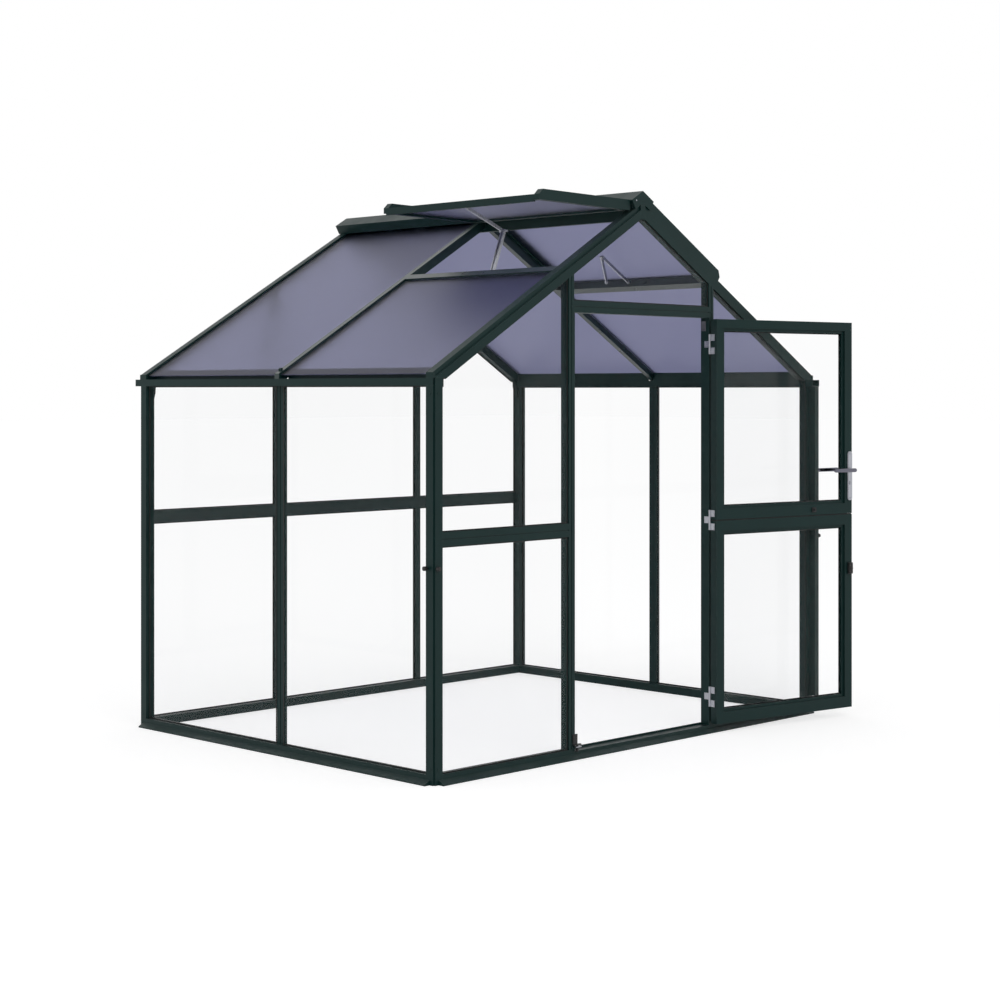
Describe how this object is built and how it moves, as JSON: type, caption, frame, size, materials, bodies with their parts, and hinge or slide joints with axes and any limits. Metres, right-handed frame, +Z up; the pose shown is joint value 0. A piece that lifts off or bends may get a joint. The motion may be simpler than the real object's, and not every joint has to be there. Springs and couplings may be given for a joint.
{
  "type": "glass greenhouse",
  "caption": "Small glass greenhouse with a slim painted metal frame, clear glazing, a pitched roof with a lifting vent on each slope, and a stable door in the gable.",
  "frame": {"origin": "on the ground under the ridge, in the plane of the front gable's outer face", "axes": "+X to the right as seen by someone facing the door from outside, +Y back into the house, +Z up"},
  "size_m": [2.5861, 2.2475, 2.4187],
  "materials": {
    "painted_frame": "satin dark green powder coat",
    "wall_glass": "clear",
    "roof_glass": "clear, with a grey-violet cast where it reflects the sky",
    "bright_fittings": "satin",
    "black_fittings": "matt"
  },
  "bodies": {
    "house": {"base_rail_front": "painted_frame", "base_rail_rear": "painted_frame", "base_rail_left": "painted_frame", "base_rail_right": "painted_frame", "door_sill": "painted_frame", "corner_posts_front": "painted_frame", "corner_posts_rear": "painted_frame", "side_posts": "painted_frame", "door_posts": "painted_frame", "closing_jamb": "painted_frame", "rear_posts": "painted_frame", "mid_rails_front": "painted_frame", "mid_rails_rear": "painted_frame", "door_header": "painted_frame", "gutter_left": "painted_frame", "gutter_right": "painted_frame", "downpipe": "painted_frame", "rafters_front": "painted_frame", "rafters_rear": "painted_frame", "roof_bar_left": "painted_frame", "roof_bar_right": "painted_frame", "ridge_beam": "painted_frame", "ridge_cap": "painted_frame", "vent_sills": "painted_frame", "eave_brackets": "painted_frame", "vent_frame_left": "painted_frame", "vent_glass_left": "roof_glass", "vent_frame_right": "painted_frame", "vent_glass_right": "roof_glass", "vent_stay_left": "bright_fittings", "vent_stay_right": "bright_fittings", "glass_left_wall": "wall_glass", "glass_right_wall": "wall_glass", "glass_front": "wall_glass", "glass_rear": "wall_glass", "roof_glass_left": "roof_glass", "roof_glass_right": "roof_glass", "hinges_post": "bright_fittings"},
    "upper_leaf": {"upper_leaf_frame": "painted_frame", "upper_leaf_glass": "wall_glass", "hinges_upper_leaf": "bright_fittings", "handle_plates": "bright_fittings", "upper_bolt": "black_fittings"},
    "lower_leaf": {"lower_leaf_frame": "painted_frame", "lower_leaf_glass": "wall_glass", "hinges_lower_leaf": "bright_fittings", "lower_latch": "black_fittings"},
    "lever": {"door_lever": "bright_fittings"}
  },
  "joints": [
    {"name": "upper_leaf_hinge", "type": "hinge", "parent": "house", "child": "upper_leaf", "pos_m": [0.456, -0.0055, 1.41], "axis": [0, 0, 1], "range_deg": [-170.3, 0]},
    {"name": "lower_leaf_hinge", "type": "hinge", "parent": "house", "child": "lower_leaf", "pos_m": [0.456, -0.0055, 0.5], "axis": [0, 0, 1], "range_deg": [-170.3, 0]},
    {"name": "lever_turn", "type": "hinge", "parent": "upper_leaf", "child": "lever", "pos_m": [1.28413, -0.17292, 1.17], "axis": [-0.1685, -0.9857, 0], "range_deg": [0, 45], "stiffness_Nm_per_rad": 0.8, "springref_deg": -45.84}
  ]
}
